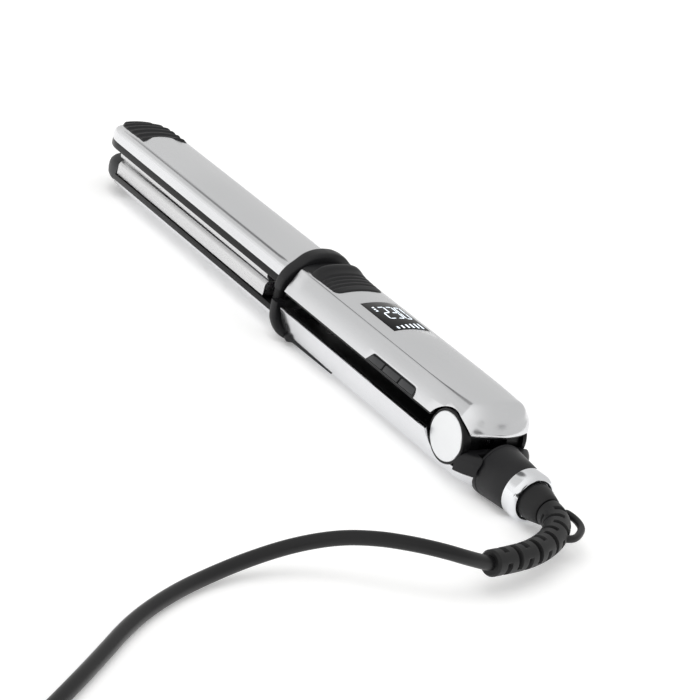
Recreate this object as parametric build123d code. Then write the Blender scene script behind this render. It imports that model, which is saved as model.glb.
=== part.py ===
from build123d import *
import math
import os

# Flat iron, millimetres. It is drawn with the hinge axis on Y through the origin, +X towards the tip,
# +Y towards the button side and +Z up. place() then moves it so that the origin is at the middle of
# the bottom of the iron's own bounding box. The iron lies on the flat of its lower handle.

# Driving dimensions
TIP_X = 277.0
HANDLE_FRONT = 111.5
SADDLE_FRONT = 118.5
PLATE_REAR, PLATE_FRONT = 131.0, 257.0
HANDLE_HALF = 17.9
FRONT_HALF = 14.3
FLOOR_Z = -16.9
PART_Z = 0.5
UPPER_LINER_TOP, UPPER_LINER_Z = 6.8, 4.4
LOWER_LINER_Z, LOWER_LINER_LOW = -6.8, -8.5
UPPER_PLATE, LOWER_PLATE = 3.0, 6.3
SKIRT = 0.8
OPEN_DEG = 0.12
CAP_RADIUS = 9.2
CAP_FACE = 16.2
FAR_CAP_RADIUS, FAR_CAP_FACE = 8.2, 14.6
PIN_RADIUS = 2.5
SWIVEL_Z = -7.4
BARREL_RADIUS = 9.2
BARREL_FRONT, BARREL_REAR = -12.0, -29.3
RING_REAR = -36.0
PLUG_REAR = -44.0
RELIEF_RADIUS = 4.8
CORD_DIAMETER = 5.0
WALL = 1.5
OUTSIDE = 30.0
UPPER_CAP_ROOM, LOWER_CAP_ROOM, CAP_ROOM_Y = 10.7, 10.15, 12.2
SWING_CLEARANCE = 14.3
LINER_RAKE = 6.0
HANDLE_LINER_LOW = 3.6
BUMPER_X, BUMPER_Y, BUMPER_RADIUS = 126.6, 8.5, 2.6
SCREW_Y, SCREW_RADIUS, SCREW_REACH = 9.5, 1.4, 1.8
TIP_CENTRE, TIP_REACH = 260.0, 17.0
REAR_CENTRE, REAR_REACH = -3.2, 9.1
NECK_REACH = 17.0
FRAME_X = (TIP_X + RING_REAR) / 2

# Half sections as (half width, edge z, crease half width, crease z, crown z)
UPPER_HANDLE = (HANDLE_HALF, 4.9, 12.5, 14.2, 16.0)
UPPER_FRONT = (FRONT_HALF, UPPER_LINER_TOP, 14.1, 12.5, 14.4)
LOWER_HANDLE = (HANDLE_HALF, -2.0, 12.4, -13.6, FLOOR_Z)
LOWER_FRONT = (14.1, LOWER_LINER_LOW, 12.5, -11.0, -12.6)

# Saddle outlines, one side of each, from the open edge to the middle
UPPER_SADDLE = [(18.3, 3.8), (17.9, 9.0), (15.8, 13.4), (11.6, 16.4), (6.0, 19.2), (0, 20.4)]
LOWER_SADDLE = [(18.3, -1.0), (18.1, -9.0), (14.6, -14.6), (7.0, FLOOR_Z + 0.2), (0, FLOOR_Z)]
NOSE = [(238.0, 14.9), (256.0, 14.4), (270.0, 12.2), (277.2, 7.6)]


def place(shape, upper=False):
    if upper:
        shape = Rot(0, -OPEN_DEG, 0) * shape
    return Pos(-FRAME_X, 0, -FLOOR_Z) * shape


def save(name, shape, upper=False):
    export_step(place(shape, upper), os.path.join("parts", name + ".step"))


def block(x0, x1, y0, y1, z0, z1):
    return Pos((x0 + x1) / 2, (y0 + y1) / 2, (z0 + z1) / 2) * Box(x1 - x0, y1 - y0, z1 - z0)


def barrel_y(radius, y0, y1, x=0.0, z=0.0):
    return Pos(x, (y0 + y1) / 2, z) * Rot(90, 0, 0) * Cylinder(radius, abs(y1 - y0))


def barrel_x(radius, x0, x1, z=SWIVEL_Z):
    return Pos((x0 + x1) / 2, 0, z) * Rot(0, 90, 0) * Cylinder(radius, abs(x1 - x0))


def barrel_z(radius, z0, z1, x, y):
    return Pos(x, y, (z0 + z1) / 2) * Cylinder(radius, abs(z1 - z0))


def crowned(x0, x1, section, grow=0.0):
    """A bar along X with sloping sides and a crown; grow moves every wall but the open edge outwards."""
    half, edge, crease, crease_z, crown = section
    way = 1 if crown > edge else -1
    half, crease = half + grow, crease + grow
    crease_z, crown = crease_z + way * grow, crown + way * grow
    sides = Polyline((-crease, crease_z), (-half, edge), (half, edge), (crease, crease_z))
    top = ThreePointArc((crease, crease_z), (0, crown), (-crease, crease_z))
    return extrude(Plane.YZ.offset(x0) * make_face([*sides.edges(), top.edge()]), x1 - x0)


def tip_plan(inset=0.0, rear=SADDLE_FRONT):
    """Plan of the front arm: straight sides and a half-ellipse tip."""
    half, reach = FRONT_HALF + 0.1 - inset, TIP_REACH - inset
    plan = Ellipse(reach, half).moved(Location((TIP_CENTRE, 0)))
    plan = plan + Pos((rear + TIP_CENTRE) / 2, 0) * Rectangle(TIP_CENTRE - rear, 2 * half)
    return Pos(0, 0, -OUTSIDE) * extrude(plan, 2 * OUTSIDE)


def nose_profile(grow=0.0):
    """Side view that rounds the top of the tip down."""
    rear, front = SADDLE_FRONT - 1, TIP_X + 1
    points = [(x, z + grow) for x, z in NOSE]
    top = Spline(*points, tangents=[(1, 0), (0.5, -1)])
    rest = Polyline(points[-1], (front, points[-1][1]), (front, -OUTSIDE), (rear, -OUTSIDE), (rear, OUTSIDE),
                    (points[0][0], OUTSIDE), points[0])
    return extrude(Plane.XZ * make_face([top.edge(), *rest.edges()]), OUTSIDE, both=True)


def rear_plan(inset=0.0, front=HANDLE_FRONT, rear=REAR_REACH):
    """Plan of the handle: straight sides and a half-ellipse rear end."""
    half, reach = HANDLE_HALF + 0.1 - inset, rear - inset
    plan = Ellipse(reach, half).moved(Location((REAR_CENTRE, 0)))
    plan = plan + Pos((front + REAR_CENTRE) / 2, 0) * Rectangle(front - REAR_CENTRE, 2 * half)
    return Pos(0, 0, -OUTSIDE) * extrude(plan, 2 * OUTSIDE)


def cap_room(radius):
    room = barrel_y(radius, CAP_ROOM_Y, OUTSIDE)
    return room + mirror(room, Plane.XZ)


DISPLAY = (53.5, 77.5, -10.0, 7.1)
PANEL = (20.5, 52.5, 4.9, 8.3)
BUTTONS = (("power", 47.2), ("plus", 36.6), ("minus", 26.0))
BUTTON_LENGTH = 9.8
BUTTON_LOW, BUTTON_HIGH = 5.4, 7.6
PAD_REAR = 245.0
THUMB = (87.5, 108.0)
FINGER_PAD = 101.0
TIP_COVER = 258.0
TIP_INSET, TIP_HEIGHT = 1.0, (-10.8, -2.0)
SCREW_X = (150.0, 200.0, 240.0)
CUSHION_X = (150.0, 194.0, 238.0)


def pad_outline(grow=0.0):
    return tip_plan(2.0 - grow) & block(PAD_REAR - grow, TIP_X, -20, 20, 8, 25)


# Upper arm

def upper_handle_shell():
    shell = crowned(-14, HANDLE_FRONT, UPPER_HANDLE) & rear_plan()
    shell -= crowned(-14, HANDLE_FRONT, UPPER_HANDLE, -WALL) & rear_plan(WALL)
    shell -= cap_room(UPPER_CAP_ROOM)
    shell -= block(PANEL[0], PANEL[1], 10, 20, PANEL[2] - 1, PANEL[3])
    return shell - block(*DISPLAY, 12, 20)


def upper_front_shell():
    shell = crowned(SADDLE_FRONT, TIP_X, UPPER_FRONT) & tip_plan() & nose_profile()
    shell -= crowned(SADDLE_FRONT, TIP_X, UPPER_FRONT, -WALL) & tip_plan(WALL) & nose_profile(-WALL)
    return shell - pad_outline()


def upper_tip_pad():
    pad = crowned(PAD_REAR, TIP_X, UPPER_FRONT, 0.4) & pad_outline() & nose_profile(0.4)
    return pad & block(PAD_REAR, TIP_X, -20, 20, 9.6, 20)


def plate_room(z0, z1):
    """Room for a plate and the posts behind it, open at the rear; the walls left beside it hide its float."""
    return block(SADDLE_FRONT - 1, PLATE_FRONT + 0.4, -13.75, 13.75, z0, z1)


def upper_front_liner():
    liner = tip_plan(0.2) & block(SADDLE_FRONT, TIP_X, -20, 20, UPPER_LINER_Z - SKIRT, UPPER_LINER_TOP)
    liner -= plate_room(UPPER_LINER_Z - SKIRT - 1, UPPER_LINER_Z)
    liner -= block(PLATE_REAR + 6, PLATE_FRONT - 8, -7, 7, 4, 7)
    low, beyond = UPPER_LINER_Z - SKIRT - 0.2, TIP_X + 2
    outline = Polyline((TIP_X, UPPER_LINER_TOP), (beyond, UPPER_LINER_TOP), (beyond, low),
                       (TIP_X - LINER_RAKE, low), (TIP_X, UPPER_LINER_TOP))
    return liner - extrude(Plane.XZ * make_face(outline.edges()), OUTSIDE, both=True)


def upper_handle_liner():
    liner = rear_plan(0.9) & block(-14, HANDLE_FRONT, -20, 20, HANDLE_LINER_LOW, UPPER_HANDLE[1])
    liner -= barrel_y(8.2, -12.6, 12.6)
    return liner - cap_room(UPPER_CAP_ROOM)


def hoop(x0, x1, outline):
    """A bar along X whose section is the outline and its mirror image, joined across the open edge."""
    other = [(-y, z) for y, z in outline[-2::-1]]
    curve = Spline(*outline, *other)
    return extrude(Plane.YZ.offset(x0) * make_face([curve.edge(), Line(other[-1], outline[0]).edge()]), x1 - x0)


def upper_saddle():
    band = hoop(HANDLE_FRONT, SADDLE_FRONT, UPPER_SADDLE)
    band -= crowned(HANDLE_FRONT - 1, SADDLE_FRONT + 1, (12.6, 4.9, 10.0, 10.0, 11.8))
    return band


def thumb_pad():
    """A wedge on the crown, highest at its front lip."""
    outline = Polyline((THUMB[0], 10), (THUMB[1], 10), (THUMB[1], 18.8), (THUMB[0], 15.9), (THUMB[0], 10))
    wedge = extrude(Plane.XZ * make_face(outline.edges()), 30, both=True)
    pad = crowned(*THUMB, (14.5, 9.0, 11.5, 16.2, 18.8)) & wedge
    return pad - crowned(THUMB[0] - 1, THUMB[1] + 1, UPPER_HANDLE)


def display_lens():
    lens = crowned(DISPLAY[0], DISPLAY[1], UPPER_HANDLE) - crowned(DISPLAY[0], DISPLAY[1], UPPER_HANDLE, -WALL)
    return lens & block(*DISPLAY, 12, OUTSIDE)


def button_bezel():
    bezel = crowned(PANEL[0], PANEL[1], UPPER_HANDLE) - crowned(PANEL[0], PANEL[1], UPPER_HANDLE, -WALL)
    bezel &= block(PANEL[0], PANEL[1], 10, 20, PANEL[2], PANEL[3])
    for _, x in BUTTONS:
        bezel -= button_room(x, 0.2)
    return bezel


def button_room(x, grow):
    half = BUTTON_LENGTH / 2 + grow
    return block(x - half, x + half, 10, 20, BUTTON_LOW - grow, BUTTON_HIGH + grow)


def button(x):
    bar = crowned(PANEL[0], PANEL[1], UPPER_HANDLE, 0.5) - crowned(PANEL[0], PANEL[1], UPPER_HANDLE, -WALL)
    return bar & button_room(x, 0.0)


def plate(way):
    """A floating plate with rounded sides; its working face is next to the parting plane."""
    face = PART_Z + way * 0.1
    thick = UPPER_PLATE if way > 0 else LOWER_PLATE
    body = block(PLATE_REAR, PLATE_FRONT, -13.6, 13.6, *sorted((face, face + way * thick)))
    working = body.edges().filter_by(Axis.X).sort_by(Axis.Z)
    working = working[:2] if way > 0 else working[-2:]
    return fillet(working, 2.2)


def heater(way):
    base = PART_Z + way * (0.1 + (UPPER_PLATE if way > 0 else LOWER_PLATE))
    return block(PLATE_REAR + 10, PLATE_FRONT - 12, -5.5, 5.5, *sorted((base, base + way * 1.4)))


def bumpers(way):
    """Round silicone posts behind the plates that meet as the arms close."""
    root, face = (UPPER_LINER_Z if way > 0 else LOWER_LINER_Z), PART_Z + way * 0.3
    post = barrel_z(BUMPER_RADIUS, *sorted((face, root)), BUMPER_X, BUMPER_Y)
    post = fillet(post.edges(), 0.8)
    return Compound([post, mirror(post, Plane.XZ)])


def hinge_knuckle():
    body = barrel_y(5.6, -6, 6) + block(0, 16, -6, 6, 1.0, 3.6)
    body -= barrel_y(PIN_RADIUS + 0.06, -7, 7)
    return body - barrel_y(6.2, -2, 2)


# Lower arm

def lower_handle_shell():
    """The rear end narrows and keeps only its lower part, below the black neck."""
    shell = crowned(BARREL_FRONT - 5, HANDLE_FRONT, LOWER_HANDLE) & rear_plan(0, rear=NECK_REACH)
    hollow = crowned(BARREL_FRONT - 6, HANDLE_FRONT + 1, LOWER_HANDLE, -WALL)
    shell -= hollow & rear_plan(WALL, HANDLE_FRONT + 1, NECK_REACH)
    shell -= block(-30, -5, -20, 20, -8.8, 5)
    shell &= block(-20, 120, -20, 20, FLOOR_Z + 0.8, 0)
    shell += block(-8, HANDLE_FRONT, -7, 7, FLOOR_Z, FLOOR_Z + 1.6)
    return shell - cap_room(LOWER_CAP_ROOM) - barrel_x(11.2, -30, BARREL_FRONT + 0.5)


def lower_front_shell():
    shell = crowned(SADDLE_FRONT, TIP_X, LOWER_FRONT) & tip_plan(0.3)
    shell -= crowned(SADDLE_FRONT, TIP_X, LOWER_FRONT, -WALL) & tip_plan(WALL + 0.3)
    return shell - block(TIP_COVER, TIP_X + 1, -20, 20, -14, 0)


def lower_tip_cover():
    cover = tip_plan(TIP_INSET) & block(TIP_COVER, TIP_X, -20, 20, *TIP_HEIGHT)
    rims = cover.edges().filter_by(lambda e: abs(e.center().X - TIP_COVER) > 1)
    return fillet(rims.group_by(Axis.Z)[-1], 2.6) - block(TIP_COVER - 1, 268, -9, 9, -9, -4)


def lower_front_liner():
    top = LOWER_LINER_Z + SKIRT
    liner = tip_plan(0.2) & block(SADDLE_FRONT, TIP_COVER, -20, 20, LOWER_LINER_LOW, top)
    liner -= plate_room(LOWER_LINER_Z, top + 1)
    return liner - block(PLATE_REAR + 6, PLATE_FRONT - 8, -7, 7, -9, -6)


def lower_handle_liner():
    return block(10.8, HANDLE_FRONT, -15.6, 15.6, -3.2, -2.0)


def lower_saddle():
    band = hoop(HANDLE_FRONT, SADDLE_FRONT, LOWER_SADDLE)
    return band - crowned(HANDLE_FRONT - 1, SADDLE_FRONT + 1, (12.0, -2.6, 9.0, -11.0, -12.5))


def finger_pad():
    """Two grips that stand out of the lower creases behind the saddle."""
    pad = crowned(FINGER_PAD, HANDLE_FRONT, (17.4, -9.6, 14.0, -14.4, FLOOR_Z))
    return pad - crowned(FINGER_PAD - 1, HANDLE_FRONT + 1, LOWER_HANDLE) - block(FINGER_PAD - 1, HANDLE_FRONT + 1, -7.5, 7.5, -19, -13)


def hinge_yoke():
    yoke = block(-7.5, 7.5, -11.6, 11.6, -11, -8.4) + block(-7.5, 7.5, -7.5, 7.5, -12.4, -11)
    for way in (-1, 1):
        yoke += barrel_y(7.5, 6.3 * way, 12 * way) + block(-7.5, 7.5, *sorted((6.3 * way, 12 * way)), -9, 0)
    return yoke - barrel_y(PIN_RADIUS, -13, 13)


def swivel_neck():
    """The black rear of the lower handle, between the hinge and the barrel."""
    neck = rear_plan(0.5, rear=NECK_REACH) & block(-30, -8.6, -20, 20, -8.7, -1.4)
    rims = neck.edges().filter_by(lambda e: e.center().X < -8.7).group_by(Axis.Z)[-1]
    neck = fillet(rims, 2.6)
    return neck - barrel_x(11.3, -30, BARREL_FRONT + 0.2) - cap_room(LOWER_CAP_ROOM)


def hinge_ring(radius, face):
    return barrel_y(radius, 12.4, face - 0.4) - barrel_y(radius - 0.9, 13.2, face)


def opening_spring():
    return Compound([Pos(0, y, 0) * Rot(90, 0, 0) * Torus(4.1, 0.38) for y in (-1.35, -0.45, 0.45, 1.35)])


def swivel_barrel():
    """A tapered sleeve, flat underneath and cut round the hinge where the upper arm's rear end swings."""
    middle = Pos((BARREL_FRONT + BARREL_REAR) / 2, 0, SWIVEL_Z) * Rot(0, 90, 0)
    body = middle * Cone(BARREL_RADIUS, BARREL_RADIUS + 1.5, BARREL_FRONT - BARREL_REAR)
    body &= block(-40, 0, -20, 20, FLOOR_Z + 0.1, 10)
    body -= barrel_y(SWING_CLEARANCE, -20, 20) & block(-20, 0, -20, 20, -3, 10)
    body -= barrel_x(6.5, BARREL_REAR - 1, -20)
    return body - barrel_x(7.9, -20, BARREL_FRONT - 1.5)


def swivel_ring():
    return barrel_x(BARREL_RADIUS + 0.3, RING_REAR, BARREL_REAR) - barrel_x(6.5, RING_REAR - 1, BARREL_REAR + 1)


# Cord side

RELIEF_ROUTE = [(PLUG_REAR, 0, SWIVEL_Z), (-50, 0, SWIVEL_Z), (-59.5, 8.5, -7.4), (-67, 20.5, -7.2),
                (-72.2, 34.5, -6.6), (-75.2, 49.5, -5.5)]
CORD_ROUTE = [(-75.2, 49.5, -5.5), (-76.4, 58.8, -3.2), (-74.4, 68.3, -1.2), (-69.6, 78.0, -0.2),
              (-63.0, 88.0, -0.2), (-56.6, 98.5, -2.2), (-52.2, 112.0, -6.4), (-51.2, 127.0, -10.8),
              (-54.0, 143.0, -13.8), (-61.0, 160.0, -14.35), (-73.0, 180.0, -14.35),
              (-90.0, 200.0, -14.35), (-107.0, 221.0, -14.35), (-122.0, 240.5, -14.35),
              (-135.3, 259.5, -14.35)]
COIL_CENTRE = (-112.0, 287.0)
COIL_OUTER, COIL_INNER, COIL_HEIGHT = 36.0, 20.2, 15.6


def bend_radii(route):
    radii = []
    for before, here, after in zip(route, route[1:], route[2:]):
        arrive, leave = Vector(*here) - Vector(*before), Vector(*after) - Vector(*here)
        turn = math.radians(arrive.get_angle(leave))
        radii.append(0.45 * min(arrive.length, leave.length) / math.tan(turn / 2))
    return radii


def tube(route, radius):
    path = FilletPolyline(*route, radius=bend_radii(route))
    return sweep(Plane(origin=path @ 0, z_dir=path % 0) * Circle(radius), path=path)


def hanging_loop():
    """A rounded triangular eye moulded on the outside of the bend."""
    corners = [(-43, -3), (-44.6, -8.7), (-52, -9.2), (-58.8, -6.4), (-63.6, 0.4), (-64.2, 5), (-60, 9.5), (-52, 0)]
    outline = make_face(Polyline(*corners, corners[0]).edges())
    outline = fillet(outline.vertices(), 1.6)
    eye = extrude(outline - offset(outline, -2.2), 1.5, both=True)
    return Pos(0, 0, SWIVEL_Z) * eye - tube(RELIEF_ROUTE, RELIEF_RADIUS) - relief_plug()


def relief_plug():
    body = barrel_x(6.2, RING_REAR, RING_REAR - 0.6)
    length = RING_REAR - 0.6 - PLUG_REAR
    return body + Pos(RING_REAR - 0.6 - length / 2, 0, SWIVEL_Z) * Rot(0, 90, 0) * Cone(5.4, 7.0, length)


def swivel_core():
    return barrel_x(6.42, RING_REAR, -20) + barrel_x(7.5, -20, -18.4)


def cord_coil():
    ring = Cylinder(COIL_OUTER, COIL_HEIGHT) - Cylinder(COIL_INNER, COIL_HEIGHT)
    return Pos(*COIL_CENTRE, FLOOR_Z + COIL_HEIGHT / 2) * ring


def cord_tie():
    x, y = COIL_CENTRE
    mid = COIL_INNER + (COIL_OUTER - COIL_INNER) / 2
    half = (COIL_OUTER - COIL_INNER) / 2
    return block(x - mid - half - 1.2, x - mid + half + 1.2, y - 3, y + 3, FLOOR_Z + COIL_HEIGHT,
                 FLOOR_Z + COIL_HEIGHT + 1.4)


def plug_body():
    x, y = COIL_CENTRE[0] + COIL_OUTER, COIL_CENTRE[1]
    body = block(x, x + 17, y - 10, y + 22, FLOOR_Z, FLOOR_Z + 15)
    return fillet(body.edges().filter_by(Axis.Y), 5.0)


def plug_pins():
    x, y = COIL_CENTRE[0] + COIL_OUTER, COIL_CENTRE[1] + 22
    return Compound([barrel_y(2.0, y, y + 18, x + dx, FLOOR_Z + 7.5) for dx in (4.5, 12.5)])


def upper_screws():
    """Short screws up from the front liner into the shell's bosses."""
    places = [(x, way * SCREW_Y) for x in SCREW_X for way in (-1, 1)]
    return Compound([barrel_z(SCREW_RADIUS, UPPER_LINER_TOP, UPPER_LINER_TOP + SCREW_REACH, *p) for p in places])


def main():
    os.makedirs("parts", exist_ok=True)
    save("upper_handle_shell", upper_handle_shell(), True)
    save("upper_front_shell", upper_front_shell(), True)
    save("upper_tip_pad", upper_tip_pad(), True)
    save("upper_front_liner", upper_front_liner(), True)
    save("upper_handle_liner", upper_handle_liner(), True)
    save("upper_saddle", upper_saddle(), True)
    save("thumb_pad", thumb_pad(), True)
    save("display_lens", display_lens(), True)
    save("display_module", block(54, 77, -7.5, 6, 10.4, 12.4), True)
    save("control_board", block(26, 88, -9.5, 9.5, 8.6, 9.8), True)
    save("button_bezel", button_bezel(), True)
    for name, x in BUTTONS:
        save("button_" + name, button(x), True)
    switches = Compound([block(x - 2, x + 2, 11.4, 13.6, 5.5, 7.5) for _, x in BUTTONS])
    save("button_switches", switches, True)
    save("upper_plate", plate(1), True)
    save("upper_heater", heater(1), True)
    save("upper_plate_carrier", block(PLATE_REAR, PLATE_FRONT - 14, -10.5, 10.5, 8.8, 10.0), True)
    cushions = Compound([block(x - 4, x + 4, -3, 3, 6.0, 8.8) for x in CUSHION_X])
    save("upper_cushions", cushions, True)
    save("upper_screws", upper_screws(), True)
    save("upper_bumpers", bumpers(1), True)
    save("hinge_knuckle", hinge_knuckle(), True)
    save("lower_handle_shell", lower_handle_shell())
    save("lower_front_shell", lower_front_shell())
    save("lower_front_liner", lower_front_liner())
    save("lower_handle_liner", lower_handle_liner())
    save("lower_tip_cover", lower_tip_cover())
    save("lower_saddle", lower_saddle())
    save("finger_pad", finger_pad())
    save("lower_plate", plate(-1))
    save("lower_heater", heater(-1))
    save("lower_bumpers", bumpers(-1))
    save("lower_plate_carrier", block(PLATE_REAR, PLATE_FRONT - 4, -7.5, 7.5, -10.2, -9.2))
    save("lower_cushions", Compound([block(x - 4, x + 4, -3, 3, -9.2, -8.1) for x in CUSHION_X]))
    save("power_board", block(24, 96, -8.5, 8.5, -11.4, -9.8))
    save("hinge_yoke", hinge_yoke())
    save("hinge_pin", barrel_y(PIN_RADIUS, -12.4, 12.4))
    save("opening_spring", opening_spring())
    save("hinge_ring_left", hinge_ring(CAP_RADIUS + 0.9, CAP_FACE))
    save("hinge_cap_left", barrel_y(CAP_RADIUS, 13.2, CAP_FACE))
    save("hinge_ring_right", mirror(hinge_ring(FAR_CAP_RADIUS + 0.9, FAR_CAP_FACE), Plane.XZ))
    save("hinge_cap_right", mirror(barrel_y(FAR_CAP_RADIUS, 13.2, FAR_CAP_FACE), Plane.XZ))
    save("swivel_neck", swivel_neck())
    save("swivel_barrel", swivel_barrel())
    save("swivel_ring", swivel_ring())
    save("swivel_core", swivel_core())
    save("relief_plug", relief_plug())
    save("strain_relief", tube(RELIEF_ROUTE, RELIEF_RADIUS))
    save("hanging_loop", hanging_loop())
    save("cord", tube(CORD_ROUTE, CORD_DIAMETER / 2))
    save("cord_coil", cord_coil())
    save("cord_tie", cord_tie())
    save("plug_body", plug_body())
    save("plug_pins", plug_pins())
    print("cord radii", [round(r, 1) for r in bend_radii(CORD_ROUTE)])


main()
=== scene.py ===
import math

import bmesh
import bpy
from mathutils import Matrix, Vector


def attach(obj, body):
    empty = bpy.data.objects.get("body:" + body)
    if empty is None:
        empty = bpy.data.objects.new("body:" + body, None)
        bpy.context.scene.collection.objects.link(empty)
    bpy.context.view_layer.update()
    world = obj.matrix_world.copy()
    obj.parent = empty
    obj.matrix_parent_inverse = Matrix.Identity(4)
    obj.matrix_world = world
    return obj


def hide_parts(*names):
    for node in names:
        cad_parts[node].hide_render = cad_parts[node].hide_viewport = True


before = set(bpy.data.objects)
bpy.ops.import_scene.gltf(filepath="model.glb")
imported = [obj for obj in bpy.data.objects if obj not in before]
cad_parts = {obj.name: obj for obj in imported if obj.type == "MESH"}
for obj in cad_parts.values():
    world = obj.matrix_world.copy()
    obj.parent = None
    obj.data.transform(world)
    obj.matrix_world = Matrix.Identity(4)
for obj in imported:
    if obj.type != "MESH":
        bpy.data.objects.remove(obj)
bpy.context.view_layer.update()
MM = 0.001

# Everything below is given in the hinge's coordinates, in millimetres: origin on the hinge axis,
# +X towards the tip, +Y towards the button side, +Z up. at() turns such a point into the scene's.
TIP_X, RING_REAR, FLOOR_Z = 277.0, -36.0, -16.9
HINGE = Vector((-(TIP_X + RING_REAR) / 2, 0.0, -FLOOR_Z)) * MM
OPEN = math.radians(0.12)

HANDLE_FRONT, SADDLE_FRONT, TIP_COVER = 111.5, 118.5, 258.0
HANDLE_HALF, FRONT_HALF = 17.9, 14.3
TIP_CENTRE, TIP_REACH = 260.0, 17.0
REAR_CENTRE, REAR_REACH, NECK_REACH = -3.2, 9.1, 17.0
SWIVEL_Z = -7.4
CORD_DIAMETER = 5.0
ROUND_STEPS = 96          # points round a turned part
OUTSIDE = 24.0            # beyond either side of the iron


def at(x, y, z):
    return HINGE + Vector((x, y, z)) * MM


def upper(x, y, z):
    """A point of the upper arm, which is open by a hair at rest."""
    c, s = math.cos(OPEN), math.sin(OPEN)
    return at(x * c - z * s, y, x * s + z * c)


# ---------------------------------------------------------------- materials

def material(name, color, roughness=0.5, metallic=0.0, **extra):
    mat = bpy.data.materials.new(name)
    mat.use_nodes = True
    shader = mat.node_tree.nodes["Principled BSDF"]
    shader.inputs["Base Color"].default_value = (*color, 1.0)
    shader.inputs["Roughness"].default_value = roughness
    shader.inputs["Metallic"].default_value = metallic
    for socket, value in extra.items():
        shader.inputs[socket.replace("_", " ")].default_value = value
    return mat


def noise(mat, scale, detail=4.0, stretch=(1, 1, 1)):
    nodes, links = mat.node_tree.nodes, mat.node_tree.links
    place = nodes.new("ShaderNodeTexCoord")
    mapping = nodes.new("ShaderNodeMapping")
    mapping.inputs["Scale"].default_value = stretch
    texture = nodes.new("ShaderNodeTexNoise")
    texture.inputs["Scale"].default_value = scale
    texture.inputs["Detail"].default_value = detail
    links.new(place.outputs["Object"], mapping.inputs["Vector"])
    links.new(mapping.outputs["Vector"], texture.inputs["Vector"])
    return texture.outputs["Fac"]


def spread(mat, source, low, high, socket):
    """Let a texture move one of the shader's sockets between two values."""
    nodes, links = mat.node_tree.nodes, mat.node_tree.links
    ramp = nodes.new("ShaderNodeMapRange")
    ramp.inputs["From Min"].default_value, ramp.inputs["From Max"].default_value = 0.3, 0.7
    ramp.inputs["To Min"].default_value, ramp.inputs["To Max"].default_value = low, high
    links.new(source, ramp.inputs["Value"])
    links.new(ramp.outputs["Result"], nodes["Principled BSDF"].inputs[socket])


def tint(mat, source, low, high):
    nodes, links = mat.node_tree.nodes, mat.node_tree.links
    ramp = nodes.new("ShaderNodeValToRGB")
    ramp.color_ramp.elements[0].position, ramp.color_ramp.elements[1].position = 0.3, 0.7
    ramp.color_ramp.elements[0].color = (*low, 1)
    ramp.color_ramp.elements[1].color = (*high, 1)
    links.new(source, ramp.inputs["Fac"])
    links.new(ramp.outputs["Color"], nodes["Principled BSDF"].inputs["Base Color"])


def bump(mat, source, strength, distance):
    nodes, links = mat.node_tree.nodes, mat.node_tree.links
    node = nodes.new("ShaderNodeBump")
    node.inputs["Strength"].default_value = strength
    node.inputs["Distance"].default_value = distance
    links.new(source, node.inputs["Height"])
    links.new(node.outputs["Normal"], nodes["Principled BSDF"].inputs["Normal"])


def brushed_silver():
    mat = material("silver", (0.74, 0.745, 0.76), 0.2, 1.0)
    lines = noise(mat, 40, 3, (1, 14, 14))
    spread(mat, lines, 0.15, 0.24, "Roughness")
    tint(mat, noise(mat, 9, 2), (0.70, 0.705, 0.72), (0.78, 0.785, 0.80))
    return mat


def polished_chrome():
    mat = material("chrome", (0.83, 0.84, 0.86), 0.08, 1.0)
    spread(mat, noise(mat, 60, 3), 0.05, 0.13, "Roughness")
    return mat


def satin_cap():
    mat = material("cap_face", (0.80, 0.81, 0.82), 0.25, 1.0)
    spread(mat, noise(mat, 60, 3), 0.27, 0.33, "Roughness")
    return mat


def plate_metal():
    mat = material("plate", (0.66, 0.66, 0.665), 0.3, 1.0)
    lines = noise(mat, 30, 4, (1, 20, 20))
    spread(mat, lines, 0.24, 0.32, "Roughness")
    tint(mat, lines, (0.655, 0.655, 0.66), (0.67, 0.67, 0.675))
    return mat


def moulded(name, color, roughness, grain, depth, gloss=0.3):
    """Injection moulded plastic with a fine spark-eroded grain."""
    mat = material(name, color, roughness)
    fine = noise(mat, grain, 2)
    spread(mat, noise(mat, 30, 3), roughness - 0.06, roughness + 0.08, "Roughness")
    tint(mat, noise(mat, 14, 3), tuple(c * 0.85 for c in color), tuple(c * 1.25 for c in color))
    bump(mat, fine, 0.25, depth)
    mat.node_tree.nodes["Principled BSDF"].inputs["Specular IOR Level"].default_value = gloss
    return mat


def glowing(name, color, strength):
    return material(name, color, 0.4, Emission_Color=(*color, 1), Emission_Strength=strength)


MATERIALS = {}


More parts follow.
